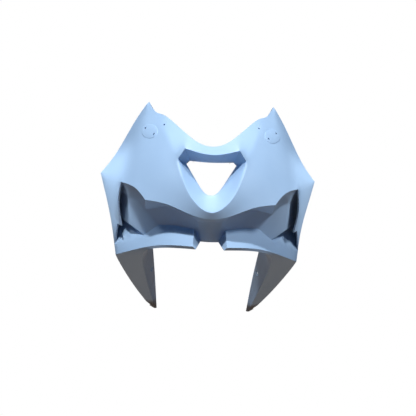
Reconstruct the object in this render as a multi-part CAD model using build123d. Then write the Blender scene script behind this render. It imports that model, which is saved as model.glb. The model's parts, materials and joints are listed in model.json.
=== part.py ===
from build123d import *
import os
from collections import defaultdict

# One-piece moulded upper fairing of a sport motorcycle: nose, air intake, cheeks, side ducts, chin and legs.
# Half widths are from the centre plane, depths back from the nose tip, heights up from it, in millimetres.

# Moulding
wall = 3.0
stay_depth = 258.7
stay_height = 154.9
nose_lean = 0.15

# Windscreen edge and horns
screen_depth = 105.0
screen_height = 130.0
notch_half = 128.0
notch_depth = 272.0
notch_height = 194.0
horn_half = 144.0
horn_depth = 310.0
horn_height = 220.0
horn_blunt = 5.0

# Sides
widest_half = 251.0
widest_depth = 345.0
widest_height = 50.0
waist_half = 217.0
waist_height = 91.0
cheek_crown = 5.0
side_bulge = 4.0

# Air intake
intake_half = 58.0
intake_depth = 87.0
intake_height = 127.0
hole_half = 54.0
hole_depth = 124.0
hole_height = 92.0
hole_floor = 29.0
hole_lip = 9.0

# Brow, side duct and strut
brow_half = 196.0
brow_depth = 192.0
brow_height = 43.0
strut_half = 192.0
strut_depth = 205.0
strut_drop = 55.0

# Chin and keel
keel_half = 19.0
keel_drop = 64.0
chin_half = 35.0
chin_depth = 10.0
chin_drop = 69.0
chin_undercut = 6.0
lip_thickness = 6.0
lip_return = 20.0

# Legs
sill_half = 207.0
sill_depth = 236.0
sill_drop = 99.0
knee_half = 203.0
knee_depth = 220.0
knee_drop = 122.0
foot_half = 134.0
foot_depth = 400.0
foot_drop = 259.0
toe_half = 113.0
toe_depth = 412.0
toe_drop = 277.0
heel_half = 131.0
heel_depth = 442.0
heel_drop = 264.0

# Fastenings
mirror_pad_length = 76.0
mirror_pad_width = 34.0
mirror_pad_rise = 1.2
mirror_hole_r = 3.2
mirror_hole_pitch = 50.0
screen_hole_r = 2.6
leg_hole_r = 6.0
through = 20.0
# Shares of the panel, down and along it, at which a fastening sits
mirror_place = (0.52, 0.34)
screen_place = (0.35, 0.5)
leg_place = (0.75, 0.5)
# Direction in which a fastening's first axis runs
mirror_run = (0.39, 0.9, 0.21)
screen_run = (1, 0, 0)
leg_run = (0, 1, 0)


def at(half, depth, height):
    """A point of the part's own frame, whose origin is midway between the mirror pads."""
    return (half, depth + nose_lean * max(height, 0) - stay_depth, height - stay_height)


def mix(start, end, share, lift=(0, 0, 0)):
    return tuple(a + (b - a) * share + c for a, b, c in zip(start, end, lift))


def along(start, a, b, share):
    """A point reached from the start, parallel to the run from a to b."""
    return tuple(s + (q - p) * share for s, p, q in zip(start, a, b))


# Feature lines of the right half, each from the centre plane outwards or from the top down
horn_tip = at(horn_half, horn_depth, horn_height)
screen_edge = [
    at(0, screen_depth, screen_height),
    at(28, 118, 136),
    at(56, 155, 155),
    at(86, 212, 179),
    at(110, 250, 196),
    at(notch_half, notch_depth, notch_height),
    horn_tip,
]
ridge = [
    at(0, 0, -4),
    at(34, 12, 18.5),
    at(57, 42, 52),
    at(73.5, 92, 104),
    at(88, 138, 132),
    at(101, 185, 157),
    at(120, 232, 171),
    at(147, 285, 184),
    at(horn_half + horn_blunt, horn_depth, horn_height - horn_blunt),
]
brow = [
    at(0, 5, -13),
    at(30, 13, -8),
    at(59, 33, 1),
    at(95, 60, 14),
    at(139, 98, 15),
    at(149, 116, 27),
    at(168, 148, 41),
    at(brow_half, brow_depth, brow_height),
]
widest = at(widest_half, widest_depth, widest_height)
rear_edge = [ridge[-1], at(177, 333, 174), at(waist_half, 340, waist_height), widest]
intake_rim = [
    at(0, 80, 114.5),
    at(30, 81, 119),
    at(intake_half, intake_depth, intake_height),
]
intake_hole = [
    at(0, hole_depth - 8, 97),
    at(26, hole_depth - 6, 98),
    at(47, hole_depth, 99),
    at(hole_half, hole_depth, hole_height),
    at(34, 106, 62),
    at(15, 80, 33),
    at(0, 80, hole_floor),
]
intake_back = [(x, y + hole_lip, z) for x, y, z in intake_hole]
soffit = [
    at(0, 28, -20),
    at(26, 38, -18),
    at(48, 57, -6),
    at(92, 106, 3),
    at(138, 164, -12),
    at(154, 174, 8),
    at(179, 198, 12),
    at(194, 206, 39.5),
]
channel_foot = [
    at(0, 49, -keel_drop),
    at(keel_half, 56, -keel_drop),
    at(chin_half - 2, 58, -39),
    at(77, 102, -37),
    at(108, 141, -42),
    at(140, 172, -69),
    at(175, 204, -49),
]
sill = at(sill_half, sill_depth, -sill_drop)
lip = [
    at(chin_half, chin_depth, -chin_drop),
    at(81, 48, -72),
    at(117, 91, -80.5),
    at(149, 134, -94),
    at(knee_half, knee_depth, -knee_drop),
]
lip_under = [(x, y + lip_thickness / 3, z - lip_thickness) for x, y, z in lip[:4]]
lip_under[0] = (lip_under[0][0] - chin_undercut, lip_under[0][1], lip_under[0][2])
lip_under.append(at(197, 250, -142))
lip_back = [(x, y + lip_return, z) for x, y, z in lip_under[:3]]

# Side duct: its mouth, from the top round to the sill, and its inner end
duct_mouth = [soffit[7], soffit[6], channel_foot[6], channel_foot[5], sill]
duct_corner = at(217, 322, -38)
duct_top = along(duct_corner, channel_foot[6], soffit[6], 1)
duct_heel = along(duct_corner, channel_foot[6], channel_foot[5], 0.3)
duct_end = [
    along(duct_top, soffit[6], soffit[7], 0.45),
    duct_top,
    duct_corner,
    duct_heel,
    along(duct_heel, channel_foot[5], sill, 0.14),
]

# Strut beside the duct, and the crease that runs back from it to the widest point
strut = [brow[7], at(204, 210, -7), at(strut_half, strut_depth, -strut_drop)]
crease = [widest, at(226, 303, -29), at(202, 228, -53)]

# Lower side: its front edge, down the leg, and its rear edge
foot = at(foot_half, foot_depth, -foot_drop)
toe = at(toe_half, toe_depth, -toe_drop)
side_front = [sill, lip[4], lip_under[4], at(165, 346, -212), foot]
side_rear = [
    at(220, 372, -55),
    at(209, 374, -110),
    at(201, 380, -142),
    at(167, 409, -212),
    at(heel_half, heel_depth, -heel_drop),
]

# Leg front and inner return: rows down the leg, each from the outer edge inwards
leg = [
    [side_front[2], lip_under[3], at(132, 208, -104), at(121, 268, -108)],
    [side_front[3], at(134, 286, -186), at(128, 317, -184), at(115, 358, -186)],
    [
        foot,
        toe,
        at(toe_half - 2, toe_depth + 7, -toe_drop - 1),
        at(toe_half - 4, toe_depth + 17, -toe_drop - 2),
    ],
]


def cheek_rows():
    """Ridge, two crowned rows and brow: the cheek panel, ending in the rear edge."""
    bulge = [0, 0.2, 0.4, 0.8, 1, 1, 0.8, 0.6]
    rows = [ridge]
    for share, end in ((1 / 3, rear_edge[1]), (2 / 3, rear_edge[2])):
        row = []
        for top, bottom, part in zip(ridge, brow, bulge):
            rise = cheek_crown * part
            row.append(mix(top, bottom, share, (0.7 * rise, -0.5 * rise, 0.5 * rise)))
        rows.append(row + [end])
    rows.append(brow + [widest])
    return rows


def side_rows():
    """Rows of the lower side, from the crease down to the foot, each from front to rear."""
    rows = [crease[::-1]]
    for front, rear in zip(side_front, side_rear):
        rows.append([front, mix(front, rear, 0.5, (side_bulge, 0, 0)), rear])
    return rows


def strip(lower, upper):
    """Four-sided panels between two lines that have as many points."""
    return [(lower[i], lower[i + 1], upper[i + 1], upper[i]) for i in range(len(lower) - 1)]


def right_panels():
    """Panels of the right half, each run anticlockwise as seen from outside."""
    cheek = cheek_rows()
    side = side_rows()
    panels = []
    for upper, lower in zip(cheek, cheek[1:]):
        panels += strip(lower, upper)
    panels += strip(crease[::-1], strut[::-1])
    panels += strip(intake_rim, screen_edge[:3])
    panels += [(intake_rim[2], ridge[3], ridge[4], screen_edge[2])]
    panels += strip(ridge[4:], screen_edge[2:])
    panels += strip(intake_hole[:3], intake_rim)
    panels += [(intake_hole[2], intake_hole[3], ridge[3], intake_rim[2])]
    panels += strip(intake_hole[3:], ridge[3::-1])
    panels += strip(intake_back, intake_hole)
    panels += strip(soffit, brow)
    panels += strip(channel_foot[:5], soffit[:5])
    panels += [(channel_foot[4], channel_foot[5], channel_foot[6], soffit[4])]
    panels += [(soffit[4], channel_foot[6], soffit[6], soffit[5])]
    panels += strip(lip, channel_foot[2:6] + [sill])
    panels += [(lip_under[0], lip[0], channel_foot[2], channel_foot[1])]
    panels += strip(lip_under, lip)
    panels += strip(lip_back, lip_under[:3])
    panels += [(lip_back[2], leg[0][2], lip_under[3], lip_under[2])]
    panels += strip(duct_mouth, duct_end)
    for upper, lower in zip(side, side[1:]):
        panels += strip(lower, upper)
    for upper, lower in zip(leg, leg[1:]):
        panels += strip(upper, lower)
    return panels


# Lines where the skin folds sharply
folds = [
    ridge,
    brow,
    crease,
    lip,
    lip_under[:4],
    intake_rim + [ridge[3]],
    intake_hole,
    [intake_rim[2], intake_hole[2], intake_back[2]],
    [ridge[3], intake_hole[3], intake_back[3]],
    soffit[:7],
    [brow[4], soffit[4]],
    channel_foot[1:6],
    [channel_foot[2], lip[0], lip_under[0], channel_foot[1]],
    duct_mouth,
    [crease[2]] + side_front,
    [row[1] for row in leg],
    [row[2] for row in leg],
]
folds += zip(soffit[1:5], channel_foot[1:5])
folds += [[soffit[4], channel_foot[6]]]
folds += zip(duct_mouth, duct_end)


def mirrored(point):
    return (-point[0], point[1], point[2])


class Skin:
    """A smooth skin over four-sided panels, folded along the named lines and at its free edges."""

    def __init__(self, panels, fold_lines):
        self.panels = panels
        self.around = defaultdict(list)
        self.owners = defaultdict(list)
        for panel in panels:
            for i in range(4):
                self.around[panel[i]].append(panel)
                self.owners[frozenset((panel[i], panel[(i + 1) % 4]))].append(panel)
        sharp = {edge for edge, owner in self.owners.items() if len(owner) == 1}
        for line in fold_lines:
            for a, b in zip(line, line[1:]):
                sharp.add(frozenset((a, b)))
                sharp.add(frozenset((mirrored(a), mirrored(b))))
        self.sharp = sharp
        self.sharp_ends = defaultdict(list)
        for edge in sorted(sharp, key=sorted):
            a, b = sorted(edge)
            self.sharp_ends[a].append(b)
            self.sharp_ends[b].append(a)

    def free_edges(self):
        """Edges with one panel, run the way that the panel runs them."""
        found = []
        for panel in self.panels:
            for i in range(4):
                a, b = panel[i], panel[(i + 1) % 4]
                if len(self.owners[frozenset((a, b))]) == 1:
                    found.append((a, b))
        return found

    def inset(self, depth):
        """Every point moved to the inside by the wall, mitred where panels meet at an angle."""
        moved = {}
        for point, panels in self.around.items():
            normals = []
            for panel in panels:
                i = panel.index(point)
                ahead = Vector(panel[(i + 1) % 4]) - Vector(point)
                behind = Vector(panel[i - 1]) - Vector(point)
                normals.append(ahead.cross(behind).normalized())
            middle = sum(normals, Vector()).normalized()
            lean = sum(middle.dot(normal) for normal in normals) / len(normals)
            moved[point] = Vector(point) - middle * (depth / lean)
        return moved

    def inner_point(self, place, panel, point):
        i = panel.index(point)
        regular = 4
        count = len(self.around[point]) if len(self.sharp_ends[point]) < 2 else regular
        ahead = place[panel[(i + 1) % 4]]
        behind = place[panel[i - 1]]
        across = place[panel[(i + 2) % 4]]
        return (place[point] * count + ahead * 2 + behind * 2 + across) / (count + 5)

    def corner_point(self, place, point):
        ends = self.sharp_ends[point]
        panels = self.around[point]
        if len(ends) > 2 or len(panels) == 1:
            return place[point]
        if len(ends) == 2:
            return (place[point] * 4 + place[ends[0]] + place[ends[1]]) / 6
        return sum((self.inner_point(place, panel, point) for panel in panels), Vector()) / len(panels)

    def edge_point(self, place, point, towards):
        edge = frozenset((point, towards))
        if edge in self.sharp:
            return (place[point] * 2 + place[towards]) / 3
        beside = self.owners[edge]
        return sum((self.inner_point(place, panel, point) for panel in beside), Vector()) / len(beside)

    def edge_run(self, place, start, end):
        return [
            self.corner_point(place, start),
            self.edge_point(place, start, end),
            self.edge_point(place, end, start),
            self.corner_point(place, end),
        ]

    def face(self, place, panel):
        """A cubic surface patch over one panel, joined smoothly to its neighbours."""
        a, b, c, d = panel
        near = self.edge_run(place, a, b)
        far = self.edge_run(place, d, c)
        left = self.edge_run(place, a, d)
        right = self.edge_run(place, b, c)
        inner = [self.inner_point(place, panel, point) for point in panel]
        net = [
            near,
            [left[1], inner[0], inner[1], right[1]],
            [left[2], inner[3], inner[2], right[2]],
            far,
        ]
        return Face.make_bezier_surface(net)

    def rim(self, outside, inside, start, end):
        """The narrow face between the two skins along a free edge."""
        outer_run = self.edge_run(outside, start, end)
        inner_run = self.edge_run(inside, start, end)
        return Face.make_bezier_surface([outer_run, inner_run])


def shell():
    """The whole moulding: outer skin, inner skin and the rims that close the wall."""
    right = right_panels()
    left = [tuple(mirrored(point) for point in panel)[::-1] for panel in right]
    skin = Skin(right + left, folds)
    outside = {point: Vector(point) for point in skin.around}
    inside = skin.inset(wall)
    faces = [skin.face(outside, panel) for panel in skin.panels]
    faces += [skin.face(inside, panel) for panel in skin.panels]
    faces += [skin.rim(outside, inside, a, b) for a, b in skin.free_edges()]
    return skin, outside, Solid(Shell(faces))


def seat_on(face, place, run):
    """A plane on the outer skin, square to it, with its first axis near the given run."""
    outward = face.normal_at(*place) * -1
    level = Vector(run) - outward * Vector(run).dot(outward)
    return Plane(origin=face.position_at(*place), x_dir=level, z_dir=outward)


def drill(seat, radius, offset=0):
    """A round cutter through the wall, square to the skin."""
    return seat * Pos(offset, 0, 0) * Cylinder(radius, through)


def with_twin(piece):
    return [piece, mirror(piece, about=Plane.YZ)]


def upper_fairing():
    skin, outside, body = shell()
    cheek = cheek_rows()
    mirror_panel = (cheek[1][6], cheek[1][7], cheek[0][7], cheek[0][6])
    screen_panel = (ridge[5], ridge[6], screen_edge[4], screen_edge[3])
    leg_panel = (leg[0][2], leg[0][3], leg[1][3], leg[1][2])
    mirror_seat = seat_on(skin.face(outside, mirror_panel), mirror_place, mirror_run)
    screen_seat = seat_on(skin.face(outside, screen_panel), screen_place, screen_run)
    leg_seat = seat_on(skin.face(outside, leg_panel), leg_place, leg_run)

    pad_root = 0.9 * wall
    pad_outline = mirror_seat * Pos(0, 0, -pad_root) * Ellipse(mirror_pad_length / 2, mirror_pad_width / 2)
    pad = extrude(pad_outline, pad_root + mirror_pad_rise, dir=mirror_seat.z_dir)
    for piece in with_twin(pad):
        body = body + piece
    cutters = [
        drill(mirror_seat, mirror_hole_r, mirror_hole_pitch / 2),
        drill(mirror_seat, mirror_hole_r, -mirror_hole_pitch / 2),
        drill(screen_seat, screen_hole_r),
        drill(leg_seat, leg_hole_r),
    ]
    for cutter in cutters:
        for piece in with_twin(cutter):
            body = body - piece
    return body


os.makedirs("parts", exist_ok=True)
export_step(upper_fairing(), "parts/upper_fairing.step")
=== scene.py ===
import json
import math
import bpy
import bmesh
from mathutils import Matrix, Vector


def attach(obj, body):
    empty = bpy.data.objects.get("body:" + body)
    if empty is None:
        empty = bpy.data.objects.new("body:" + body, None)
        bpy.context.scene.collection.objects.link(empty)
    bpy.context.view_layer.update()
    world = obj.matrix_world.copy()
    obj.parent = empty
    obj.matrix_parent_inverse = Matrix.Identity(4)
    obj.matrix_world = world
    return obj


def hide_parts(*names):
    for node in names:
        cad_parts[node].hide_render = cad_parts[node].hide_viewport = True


# A moulded motorcycle upper fairing in bare primer, dressed over its CAD shell.
# The feature lines are those of the part's source, for the right half: half widths from the centre plane,
# depths back from the nose tip and heights up from it, in millimetres.

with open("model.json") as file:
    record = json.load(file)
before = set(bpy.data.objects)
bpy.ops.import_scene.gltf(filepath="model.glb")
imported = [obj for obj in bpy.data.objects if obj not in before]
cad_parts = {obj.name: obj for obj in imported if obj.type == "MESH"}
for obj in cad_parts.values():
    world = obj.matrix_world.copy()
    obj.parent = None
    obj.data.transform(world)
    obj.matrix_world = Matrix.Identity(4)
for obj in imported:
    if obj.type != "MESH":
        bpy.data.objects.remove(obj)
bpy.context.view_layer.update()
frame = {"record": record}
mounts = {mount["name"]: mount for mount in frame["record"]["mounts"]}

# A millimetre in metres, and the decimals and distance that tell two points of the skin apart
MM = 0.001
PLACE_DECIMALS = 5
SAME_PLACE = 1e-5

# Moulding
WALL = 3.0
STAY_DEPTH = 258.7
STAY_HEIGHT = 154.9
NOSE_LEAN = 0.15
HOLE_LIP = 9.0
CHEEK_CROWN = 5.0
SIDE_BULGE = 4.0

# Chin
LIP_THICKNESS = 6.0
LIP_RETURN = 20.0
CHIN_UNDERCUT = 6.0

# Shares of the duct's mouth that are left at its end
DUCT_TOP = 0.45
DUCT_HEEL = 0.3
DUCT_FLOOR = 0.14

# Smoothing of the skin: levels, crispness of the folds and of the rubbed ridge, and degrees of a sharp edge
SMOOTHING = 3
CRISP_FOLD = 1.0
SOFT_FOLD = 0.45
SHARP_EDGE = 40

# Fastenings
PAD_LENGTH = 76.0
PAD_WIDTH = 34.0
PAD_RISE = 0.7
PAD_ROOT = 0.9 * WALL
PAD_ROUNDING = 0.6
PAD_RUN = (0.39, 0.9, 0.21)
DRILL_LENGTH = 20.0

# Torn ends of the legs: where they start, below the mirror pads, and over what height they darken
TORN_START = 412.0
TORN_FADE = 12.0

# Colour sockets of a Mix node, which has other sockets of the same names
MIX_FIRST = 6
MIX_SECOND = 7
MIX_RESULT = 2

# Studio, in metres, and in degrees from the front and above the level
FLOOR_DROP = 0.75
FLOOR_SIZE = 6.0
LAMP_DISTANCE = 2.6
STRUT_LAMP_DISTANCE = 1.6
STRUT_LAMP_AZIMUTH = 94
STRUT_LAMP_ELEVATION = 20
STRUT_LAMP_CONE = 8
STRUT_LAMP_RADIUS = 0.03

# Camera: its place, its sensor in millimetres, and the photograph's width, focus and lens centre in pixels
CAMERA_AZIMUTH = -1.94
CAMERA_ELEVATION = 6
CAMERA_DISTANCE = 2.3
CAMERA_ROLL = 2.534
SENSOR_WIDTH = 36
PICTURE_WIDTH = 416
FOCAL_LENGTH = 1129
LENS_CENTRE = (211.478, 214.4)


def at(half, depth, height):
    """A point in metres from the part's origin, which is midway between the mirror pads."""
    return Vector((half, depth + NOSE_LEAN * max(height, 0) - STAY_DEPTH, height - STAY_HEIGHT)) * MM


def lower(line, back, drop):
    """A line moved back and down."""
    return [p + Vector((0, back, -drop)) * MM for p in line]


# Screen edge, cheek and air intake

screen_edge = [
    at(0, 105, 130), at(28, 118, 136), at(56, 155, 155), at(86, 212, 179),
    at(110, 250, 196), at(128, 272, 194), at(144, 310, 220),
]
ridge = [
    at(0, 0, -4), at(34, 12, 18.5), at(57, 42, 52), at(73.5, 92, 104), at(88, 138, 132),
    at(101, 185, 157), at(120, 232, 171), at(147, 285, 184), at(149, 310, 215),
]
brow = [
    at(0, 5, -13), at(30, 13, -8), at(59, 33, 1), at(95, 60, 14),
    at(139, 98, 15), at(149, 116, 27), at(168, 148, 41), at(196, 192, 43),
]
widest = at(251, 345, 50)
rear_edge = [ridge[-1], at(177, 333, 174), at(217, 340, 91), widest]
intake_rim = [at(0, 80, 114.5), at(30, 81, 119), at(58, 87, 127)]
intake_hole = [
    at(0, 116, 97), at(26, 118, 98), at(47, 124, 99), at(54, 124, 92),
    at(34, 106, 62), at(15, 80, 33), at(0, 80, 29),
]
intake_back = lower(intake_hole, HOLE_LIP, 0)

# Channel under the brow, and chin

soffit = [
    at(0, 28, -20), at(26, 38, -18), at(48, 57, -6), at(92, 106, 3),
    at(138, 164, -12), at(154, 174, 8), at(179, 198, 12), at(194, 206, 39.5),
]
channel_foot = [
    at(0, 49, -64), at(19, 56, -64), at(33, 58, -39), at(77, 102, -37),
    at(108, 141, -42), at(140, 172, -69), at(175, 204, -49),
]
sill = at(207, 236, -99)
lip = [at(35, 10, -69), at(81, 48, -72), at(117, 91, -80.5), at(149, 134, -94), at(203, 220, -122)]
lip_under = lower(lip[:4], LIP_THICKNESS / 3, LIP_THICKNESS) + [at(197, 250, -142)]
lip_under[0].x -= CHIN_UNDERCUT * MM
lip_back = lower(lip_under[:3], LIP_RETURN, 0)

# Side duct and strut

duct_mouth = [soffit[7], soffit[6], channel_foot[6], channel_foot[5], sill]
duct_corner = at(217, 322, -38)
duct_top = duct_corner + soffit[6] - channel_foot[6]
duct_heel = duct_corner + (channel_foot[5] - channel_foot[6]) * DUCT_HEEL
duct_end = [
    duct_top + (soffit[7] - soffit[6]) * DUCT_TOP, duct_top, duct_corner, duct_heel,
    duct_heel + (sill - channel_foot[5]) * DUCT_FLOOR,
]
strut = [brow[7], at(204, 210, -7), at(192, 205, -55)]
crease = [widest, at(226, 303, -29), at(202, 228, -53)]

# Lower side and leg

foot = at(134, 400, -259)
side_front = [sill, lip[4], lip_under[4], at(165, 346, -212), foot]
side_rear = [
    at(220, 372, -55), at(209, 374, -110), at(201, 380, -142),
    at(167, 409, -212), at(131, 442, -264),
]
leg = [
    [side_front[2], lip_under[3], at(132, 208, -104), at(121, 268, -108)],
    [side_front[3], at(134, 286, -186), at(128, 317, -184), at(115, 358, -186)],
    [foot, at(113, 412, -277), at(111, 419, -278), at(109, 429, -279)],
]


def cheek_rows():
    """Ridge, two crowned rows and brow of the cheek panel, ending in the rear edge."""
    bulge = [0, 0.2, 0.4, 0.8, 1, 1, 0.8, 0.6]
    crown = Vector((0.7, -0.5, 0.5)) * CHEEK_CROWN * MM
    rows = [ridge]
    for share, end in ((1 / 3, rear_edge[1]), (2 / 3, rear_edge[2])):
        rows.append([a.lerp(b, share) + crown * part for a, b, part in zip(ridge, brow, bulge)] + [end])
    return rows + [brow + [widest]]


def side_rows():
    """Crease and rows of the lower side down to the foot, each from front to rear."""
    bulge = Vector((SIDE_BULGE, 0, 0)) * MM
    return [crease[::-1]] + [[a, a.lerp(b, 0.5) + bulge, b] for a, b in zip(side_front, side_rear)]


# Lines along which the skin is folded

folds = [
    brow,
    crease,
    lip,
    lip_under[:4],
    intake_rim + [ridge[3]],
    intake_hole,
    [intake_rim[2], intake_hole[2], intake_back[2]],
    [ridge[3], intake_hole[3], intake_back[3]],
    soffit[:7],
    [brow[4], soffit[4], channel_foot[6]],
    channel_foot[1:6],
    [channel_foot[2], lip[0], lip_under[0], channel_foot[1]],
    duct_mouth,
    [crease[2]] + side_front,
    [row[1] for row in leg],
    [row[2] for row in leg],
]
folds += zip(soffit[1:5], channel_foot[1:5])
folds += zip(duct_mouth, duct_end)


# Shell

def pull(bm, line, onto):
    """Pulls a strip of skin from one feature line onto the next."""
    start = [bm.verts.new(p) for p in line]
    edges = [bm.edges.new(pair) for pair in zip(start, start[1:])]
    grown = set(bmesh.ops.extrude_edge_only(bm, edges=edges)["geom"])
    for vert, place in zip(start, onto):
        for edge in vert.link_edges:
            if edge.other_vert(vert) in grown:
                edge.other_vert(vert).co = place


def right_half(bm):
    """All strips of the right half, still apart."""
    for rows in (cheek_rows(), side_rows(), leg):
        for upper, low in zip(rows, rows[1:]):
            pull(bm, upper, low)
    pull(bm, strut, crease)
    pull(bm, screen_edge[:3], intake_rim)
    pull(bm, [screen_edge[2], ridge[4]], [intake_rim[2], ridge[3]])
    pull(bm, screen_edge[2:], ridge[4:])
    pull(bm, intake_rim, intake_hole[:3])
    pull(bm, [intake_rim[2], ridge[3]], intake_hole[2:4])
    pull(bm, ridge[3::-1], intake_hole[3:])
    pull(bm, intake_hole, intake_back)
    pull(bm, brow, soffit)
    pull(bm, soffit[:5], channel_foot[:5])
    pull(bm, [channel_foot[4], soffit[4]], channel_foot[5:])
    pull(bm, [soffit[4], soffit[5]], [channel_foot[6], soffit[6]])
    pull(bm, channel_foot[2:6] + [sill], lip)
    pull(bm, channel_foot[1:3], [lip_under[0], lip[0]])
    pull(bm, lip, lip_under)
    pull(bm, lip_under[:3], lip_back)
    pull(bm, lip_under[2:4], [lip_back[2], leg[0][2]])
    pull(bm, duct_mouth, duct_end)


def rounded(point):
    """A point as a key that is the same for all vertices in one place."""
    return tuple(round(c, PLACE_DECIMALS) for c in point)


def fold_edges(bm):
    """Marks the folds and the ridge, so that the smoothed skin keeps them."""
    layer = bm.edges.layers.float.new("crease_edge")
    places = {rounded(vert.co): vert for vert in bm.verts}
    for line, crispness in [(fold, CRISP_FOLD) for fold in folds] + [(ridge, SOFT_FOLD)]:
        points = [places[rounded(p)] for p in line]
        for pair in zip(points, points[1:]):
            bm.edges.get(pair)[layer] = crispness


def placed(name, bm, materials):
    """Makes a bmesh an object of the scene."""
    mesh = bpy.data.meshes.new(name)
    bm.to_mesh(mesh)
    bm.free()
    piece = bpy.data.objects.new(name, mesh)
    bpy.context.scene.collection.objects.link(piece)
    for material in materials:
        mesh.materials.append(material)
    return piece


def settle(piece):
    """Makes a piece's modifiers part of its mesh."""
    bpy.context.view_layer.update()
    evaluated = piece.evaluated_get(bpy.context.evaluated_depsgraph_get())
    finished = bpy.data.meshes.new_from_object(evaluated)
    piece.modifiers.clear()
    piece.data = finished


def moulding(outside, inside, edge):
    """The whole shell: both halves, smoothed and given their wall."""
    bm = bmesh.new()
    right_half(bm)
    bmesh.ops.remove_doubles(bm, verts=bm.verts[:], dist=SAME_PLACE)
    fold_edges(bm)
    bmesh.ops.mirror(bm, geom=bm.verts[:] + bm.edges[:] + bm.faces[:], axis="X", merge_dist=SAME_PLACE)
    bmesh.ops.recalc_face_normals(bm, faces=bm.faces[:])
    # The skin is open, so the foremost face tells which side is out
    foremost = min(bm.faces, key=lambda face: face.calc_center_median().y)
    if foremost.normal.y > 0:
        bmesh.ops.reverse_faces(bm, faces=bm.faces[:])
    piece = placed("fairing_shell", bm, [outside, inside, edge])
    smooth = piece.modifiers.new("skin", "SUBSURF")
    smooth.levels = SMOOTHING
    smooth.render_levels = SMOOTHING
    smooth.boundary_smooth = "PRESERVE_CORNERS"
    wall = piece.modifiers.new("wall", "SOLIDIFY")
    wall.thickness = WALL * MM
    wall.offset = -1
    wall.use_even_offset = True
    # The inner skin takes the second material, and the rim the third
    wall.material_offset = 1
    wall.material_offset_rim = 2
    settle(piece)
    return piece


# Fastenings

def seat(mount, run):
    """A frame on the skin at a mount: its third axis stands out of the skin."""
    out = Vector(mount["axis"]).normalized()
    level = (run - out * run.dot(out)).normalized()
    turn = Matrix((level, out.cross(level), out)).transposed().to_4x4()
    return Matrix.Translation(Vector(mount["pos_m"])) @ turn


def mirror_pad(place, material):
    """A raised oval with a rounded edge, rooted in the wall."""
    bm = bmesh.new()
    root = PAD_ROOT * MM
    height = root + PAD_RISE * MM
    centre = Matrix.Translation((0, 0, height / 2 - root))
    half_length = PAD_LENGTH / 2 * MM
    bmesh.ops.create_cone(
        bm, cap_ends=True, segments=64, radius1=half_length, radius2=half_length, depth=height, matrix=centre
    )
    bmesh.ops.scale(bm, vec=(1, PAD_WIDTH / PAD_LENGTH, 1), verts=bm.verts[:])
    top = [edge for edge in bm.edges if all(vert.co.z > 0 for vert in edge.verts)]
    bmesh.ops.bevel(
        bm, geom=top, offset=PAD_ROUNDING * MM, affect="EDGES", segments=3, profile=0.5, material=-1
    )
    bmesh.ops.transform(bm, matrix=place, verts=bm.verts[:])
    bmesh.ops.recalc_face_normals(bm, faces=bm.faces[:])
    return placed("pad", bm, [material])


def drill(place, radius, offset, material):
    """A round cutter through the wall."""
    bm = bmesh.new()
    spot = place @ Matrix.Translation((offset, 0, 0))
    bmesh.ops.create_cone(
        bm, cap_ends=True, segments=32, radius1=radius, radius2=radius, depth=DRILL_LENGTH * MM, matrix=spot
    )
    bmesh.ops.recalc_face_normals(bm, faces=bm.faces[:])
    return placed("drill", bm, [material])


def combine(piece, tool, operation):
    """Joins a tool to a piece or cuts it out, and takes the tool away."""
    step = piece.modifiers.new("combine", "BOOLEAN")
    step.operation = operation
    step.solver = "EXACT"
    step.object = tool
    settle(piece)
    bpy.data.objects.remove(tool)


def fastenings(piece, material):
    """Mirror pads, and the holes for the mirrors, the screen and the lower panels."""
    for side_name, hand in (("right", 1), ("left", -1)):
        mirror = mounts["mirror_" + side_name]
        place = seat(mirror, Vector((PAD_RUN[0] * hand, PAD_RUN[1], PAD_RUN[2])))
        combine(piece, mirror_pad(place, material), "UNION")
        radius = mirror["dims"]["hole_r_mm"] * MM
        for end in (-1, 1):
            offset = end * mirror["dims"]["pcd_mm"] / 2 * MM
            combine(piece, drill(place, radius, offset, material), "DIFFERENCE")
        for name in ("screen_", "leg_"):
            mount = mounts[name + side_name]
            place = seat(mount, Vector((0, 1, 0)))
            combine(piece, drill(place, mount["dims"]["r_mm"] * MM, 0, material), "DIFFERENCE")


def shade_smooth(piece):
    """Smooth shading that stops at sharp edges."""
    piece.data.polygons.foreach_set("use_smooth", [True] * len(piece.data.polygons))
    piece.data.set_sharp_from_angle(angle=math.radians(SHARP_EDGE))


# Finishes

class Value:
    """A shader socket that Python expressions can use."""

    def __init__(self, finish, socket):
        self.finish = finish
        self.socket = socket

    def maths(self, operation, first, second):
        return self.finish.node("ShaderNodeMath", {"operation": operation}, {0: first, 1: second})

    def __add__(self, other):
        return self.maths("ADD", self, other)

    def __sub__(self, other):
        return self.maths("SUBTRACT", self, other)

    def __mul__(self, other):
        return self.maths("MULTIPLY", self, other)

    def __rsub__(self, other):
        return self.maths("SUBTRACT", other, self)

    __radd__ = __add__
    __rmul__ = __mul__


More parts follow.
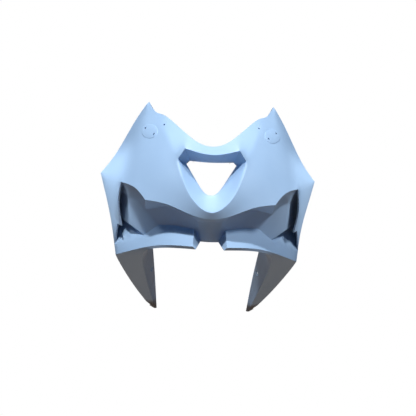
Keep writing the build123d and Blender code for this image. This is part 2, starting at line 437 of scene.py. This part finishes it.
class Finish:
    """A procedural material on Object coordinates."""

    def __init__(self, name):
        self.material = bpy.data.materials.new(name)
        self.material.use_nodes = True
        self.tree = self.material.node_tree
        self.shader = self.tree.nodes["Principled BSDF"]
        self.place = self.node("ShaderNodeTexCoord", {}, {}, "Object")

    def node(self, kind, settings, sockets, output=0):
        """Any node: its settings are set first, and then its sockets are fed."""
        made = self.tree.nodes.new(kind)
        for name, value in settings.items():
            if name == "stops":
                ramp = made.color_ramp
                while len(ramp.elements) < len(value):
                    ramp.elements.new(0.5)
                for stop, (position, colour) in zip(ramp.elements, value):
                    stop.position = position
                    stop.color = colour
            else:
                setattr(made, name, value)
        for name, value in sockets.items():
            self.feed(made.inputs[name], value)
        return Value(self, made.outputs[output])

    def feed(self, socket, value):
        if isinstance(value, Value):
            self.tree.links.new(value.socket, socket)
        else:
            socket.default_value = value

    def noise(self, scale, detail, roughness, stretch=None):
        place = self.place
        if stretch:
            place = self.node("ShaderNodeMapping", {}, {"Vector": place, "Scale": stretch})
        sockets = {"Vector": place, "Scale": scale, "Detail": detail, "Roughness": roughness}
        return self.node("ShaderNodeTexNoise", {}, sockets)

    def height(self):
        return self.node("ShaderNodeSeparateXYZ", {}, {"Vector": self.place}, "Z")

    def ramp(self, value, *stops):
        shades = [(position, (shade, shade, shade, 1)) for position, shade in stops]
        return self.node("ShaderNodeValToRGB", {"stops": shades}, {"Fac": value})

    def mix(self, share, first, second):
        sockets = {"Factor": share, MIX_FIRST: first, MIX_SECOND: second}
        return self.node("ShaderNodeMix", {"data_type": "RGBA"}, sockets, MIX_RESULT)

    def bump(self, height, strength, distance):
        sockets = {"Height": height, "Strength": strength, "Distance": distance}
        return self.node("ShaderNodeBump", {}, sockets)

    def surface(self, **values):
        for name, value in values.items():
            self.feed(self.shader.inputs[name.replace("_", " ")], value)
        return self.material


def primer():
    """Pale blue-grey primer, rubbed down by hand, with a faint orange peel, dark at the torn leg ends."""
    finish = Finish("primer")
    cloud = finish.noise(scale=7.0, detail=4.0, roughness=0.55)
    rubbed = finish.noise(scale=60.0, detail=4.0, roughness=0.6, stretch=(1.0, 0.35, 1.0))
    grain = finish.noise(scale=900.0, detail=2.0, roughness=0.5)
    shade = finish.ramp(cloud * 0.75 + rubbed * 0.25, (0.35, 0.0), (0.65, 1.0))
    colour = finish.mix(shade, (0.412, 0.612, 0.872, 1), (0.438, 0.638, 0.893, 1))
    start = TORN_START * MM
    fade = TORN_FADE * MM
    torn = finish.ramp(rubbed * fade - finish.height(), (start, 0.0), (start + fade, 1.0))
    return finish.surface(
        Base_Color=finish.mix(torn, colour, (0.10, 0.11, 0.13, 1)),
        Roughness=rubbed * 0.14 + 0.32,
        Normal=finish.bump(rubbed * 0.3 + grain * 0.7, strength=0.10, distance=0.0004),
    )


def laminate():
    """Raw resin back of the moulding, with strands of mat showing through."""
    finish = Finish("laminate")
    mat = finish.noise(scale=160.0, detail=5.0, roughness=0.7)
    strands = finish.noise(scale=90.0, detail=3.0, roughness=0.6, stretch=(1.0, 6.0, 1.0))
    cloud = finish.noise(scale=9.0, detail=3.0, roughness=0.5)
    fibres = mat * 0.5 + strands * 0.5
    weave = finish.ramp(fibres, (0.38, 0.0), (0.62, 1.0))
    pale = finish.mix(weave, (0.30, 0.33, 0.37, 1), (0.42, 0.45, 0.49, 1))
    return finish.surface(
        Base_Color=finish.mix(cloud, pale, (0.34, 0.36, 0.38, 1)),
        Roughness=mat * 0.25 + 0.42,
        Normal=finish.bump(fibres, strength=0.45, distance=0.0015),
    )


def trimmed_edge():
    """Sawn edge of the laminate, thinly primed."""
    finish = Finish("trimmed_edge")
    strands = finish.noise(scale=400.0, detail=4.0, roughness=0.65)
    weave = finish.ramp(strands, (0.35, 0.0), (0.65, 1.0))
    return finish.surface(
        Base_Color=finish.mix(weave, (0.22, 0.31, 0.42, 1), (0.33, 0.46, 0.64, 1)),
        Roughness=strands * 0.2 + 0.55,
        Normal=finish.bump(strands, strength=0.3, distance=0.0008),
    )


# Studio

def bearing(azimuth, elevation, distance):
    """The way to a place at degrees from the front and above the level."""
    a = math.radians(azimuth)
    e = math.radians(elevation)
    return Vector((math.sin(a) * math.cos(e), -math.cos(a) * math.cos(e), math.sin(e))) * distance


def stand(name, data, target, away):
    """Stands a lamp or a camera some way off a target, looking at it."""
    thing = bpy.data.objects.new(name, data)
    bpy.context.scene.collection.objects.link(thing)
    thing.location = target + away
    thing.rotation_euler = (target - thing.location).to_track_quat("-Z", "Y").to_euler()
    return thing


def lamp(name, azimuth, elevation, size, power):
    """A square lamp on the middle of the shell."""
    light = bpy.data.lights.new(name, "AREA")
    light.size = size
    light.energy = power
    shell_middle = at(0, 150, 0)
    stand(name, light, shell_middle, bearing(azimuth, elevation, LAMP_DISTANCE))


def strut_lamp(name, hand, power):
    """A narrow lamp with a soft edge, on one strut and the outer cheek above it."""
    light = bpy.data.lights.new(name, "SPOT")
    light.energy = power
    light.spot_size = math.radians(STRUT_LAMP_CONE)
    light.spot_blend = 0.6
    light.shadow_soft_size = STRUT_LAMP_RADIUS
    strut_middle = at(225 * hand, 297, 25)
    away = bearing(STRUT_LAMP_AZIMUTH * hand, STRUT_LAMP_ELEVATION, STRUT_LAMP_DISTANCE)
    stand(name, light, strut_middle, away)


def white_to_camera(tree, shader, output):
    """Shows white to the camera, and the given shader to everything else."""
    path = tree.nodes.new("ShaderNodeLightPath")
    white = tree.nodes.new("ShaderNodeEmission")
    white.inputs["Color"].default_value = (1, 1, 1, 1)
    mix = tree.nodes.new("ShaderNodeMixShader")
    tree.links.new(path.outputs["Is Camera Ray"], mix.inputs[0])
    tree.links.new(shader.outputs[0], mix.inputs[1])
    tree.links.new(white.outputs[0], mix.inputs[2])
    tree.links.new(mix.outputs[0], output.inputs["Surface"])


def paper_floor():
    """A floor that warms the light from below."""
    paper = bpy.data.materials.new("paper")
    paper.use_nodes = True
    nodes = paper.node_tree.nodes
    shader = nodes["Principled BSDF"]
    shader.inputs["Base Color"].default_value = (0.29, 0.21, 0.15, 1)
    shader.inputs["Roughness"].default_value = 0.9
    white_to_camera(paper.node_tree, shader, nodes["Material Output"])
    bm = bmesh.new()
    bmesh.ops.create_grid(bm, x_segments=1, y_segments=1, size=FLOOR_SIZE)
    bmesh.ops.translate(bm, vec=(0, 0, -FLOOR_DROP), verts=bm.verts[:])
    placed("floor", bm, [paper])


def room():
    """Dim blue light from all round."""
    world = bpy.data.worlds.new("room")
    world.use_nodes = True
    nodes = world.node_tree.nodes
    background = nodes["Background"]
    background.inputs["Color"].default_value = (0.06, 0.40, 1.0, 1)
    background.inputs["Strength"].default_value = 0.09
    white_to_camera(world.node_tree, background, nodes["World Output"])
    bpy.context.scene.world = world


def lamps():
    lamp("key", azimuth=-26, elevation=64, size=0.15, power=55)
    lamp("left", azimuth=-85, elevation=56, size=0.5, power=13)
    lamp("right", azimuth=75, elevation=50, size=0.5, power=30)
    lamp("rear", azimuth=180, elevation=30, size=1.5, power=12)
    strut_lamp("left_strut", hand=-1, power=70)
    strut_lamp("right_strut", hand=1, power=56)


def camera():
    """The photograph's camera."""
    lens = bpy.data.cameras.new("camera")
    lens.sensor_width = SENSOR_WIDTH
    lens.lens = FOCAL_LENGTH / PICTURE_WIDTH * SENSOR_WIDTH
    lens.shift_x = 0.5 - LENS_CENTRE[0] / PICTURE_WIDTH
    lens.shift_y = LENS_CENTRE[1] / PICTURE_WIDTH - 0.5
    away = bearing(CAMERA_AZIMUTH, CAMERA_ELEVATION, CAMERA_DISTANCE)
    thing = stand("camera", lens, at(0, 0, 0), away)
    thing.rotation_euler.rotate_axis("Z", math.radians(CAMERA_ROLL))
    bpy.context.scene.camera = thing


outside = primer()
inside = laminate()
shell = moulding(outside, inside, trimmed_edge())
fastenings(shell, outside)
shade_smooth(shell)
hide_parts("upper_fairing")
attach(shell, "root")
paper_floor()
room()
lamps()
camera()
bpy.context.scene.view_settings.view_transform = "Standard"
